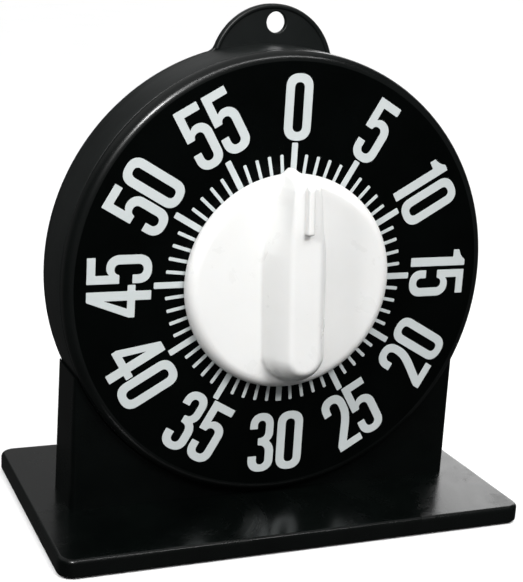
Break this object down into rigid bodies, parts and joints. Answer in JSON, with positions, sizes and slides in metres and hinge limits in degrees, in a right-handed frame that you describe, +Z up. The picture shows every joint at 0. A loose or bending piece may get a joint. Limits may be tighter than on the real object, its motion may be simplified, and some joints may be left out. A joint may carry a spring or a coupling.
{
  "type": "lab timer",
  "caption": "Round mechanical interval timer on a cradle stand and base slab, with a white grip knob, black dial face, hanging lug, and a wound clockwork with a bell.",
  "frame": {"origin": "middle of the footprint, on the table under the rubber feet", "axes": "+Z up, -Y out of the dial face towards the user, +X to the user's right"},
  "size_m": [0.187, 0.1084, 0.1957],
  "materials": {
    "knob": "satin white plastic",
    "dial": "glossy black plastic dial face",
    "drum": "satin black plastic, fine texture",
    "base": "glossy black plastic",
    "rubber": "matt black rubber",
    "steel": "steel",
    "spring_steel": "blued spring steel",
    "brass": "brass",
    "bell_metal": "nickel-plated steel"
  },
  "bodies": {
    "housing": {"front_cap": "dial", "base_plate": "base", "rubber_feet": "rubber", "stand_upright": "base", "base_screws": "steel", "drum_shell": "drum", "cradle_screws": "steel", "rear_cover": "drum", "rear_cover_screws": "steel", "dial_bush": "brass", "movement_front_plate": "brass", "movement_rear_plate": "brass", "pillars": "brass", "pillar_nuts": "steel", "movement_screws": "steel", "mainspring": "spring_steel", "spring_post": "steel", "bell": "bell_metal", "bell_post": "steel", "bell_screw": "steel", "hammer_spring": "spring_steel"},
    "knob_shaft": {"knob": "knob", "main_arbor": "steel", "great_wheel": "brass", "clutch_spring": "spring_steel", "clutch_collar": "brass", "strike_cam": "brass", "arbor_clip": "steel"},
    "second_shaft": {"second_wheel": "brass", "second_arbor": "steel"},
    "third_shaft": {"third_wheel": "brass", "third_arbor": "steel"},
    "escape_shaft": {"escape_wheel": "brass", "escape_arbor": "steel"},
    "pallet_shaft": {"pallet_lever": "steel", "pallet_arbor": "steel"},
    "hammer_shaft": {"hammer_lever": "steel", "hammer_head": "brass", "hammer_arbor": "steel"}
  },
  "joints": [
    {"name": "knob_turn", "type": "hinge", "parent": "housing", "child": "knob_shaft", "pos_m": [0, -0.0047, 0.0948], "axis": [0, 1, 0], "range_deg": [0, 360]},
    {"name": "second_turn", "type": "hinge", "parent": "housing", "child": "second_shaft", "pos_m": [-0.01562, -0.0047, 0.1171], "axis": [0, 1, 0], "range_deg": [-2880, 0]},
    {"name": "third_turn", "type": "hinge", "parent": "housing", "child": "third_shaft", "pos_m": [0.0037, -0.0047, 0.12228], "axis": [0, 1, 0], "range_deg": [0, 20160]},
    {"name": "escape_turn", "type": "hinge", "parent": "housing", "child": "escape_shaft", "pos_m": [0.01921, -0.0047, 0.11954], "axis": [0, 1, 0], "range_deg": [-120960, 0]},
    {"name": "pallet_rock", "type": "hinge", "parent": "housing", "child": "pallet_shaft", "pos_m": [0.02703, -0.0047, 0.1261], "axis": [0, 1, 0], "range_deg": [-4, 4]},
    {"name": "hammer_swing", "type": "hinge", "parent": "housing", "child": "hammer_shaft", "pos_m": [0.022, -0.0047, 0.0798], "axis": [0, 1, 0], "range_deg": [0, 3.5], "stiffness_Nm_per_rad": 0.02}
  ],
  "couplings": [
    {"joint": "second_turn", "follows": "knob_turn", "ratio": -8},
    {"joint": "third_turn", "follows": "knob_turn", "ratio": 56},
    {"joint": "escape_turn", "follows": "knob_turn", "ratio": -336}
  ]
}
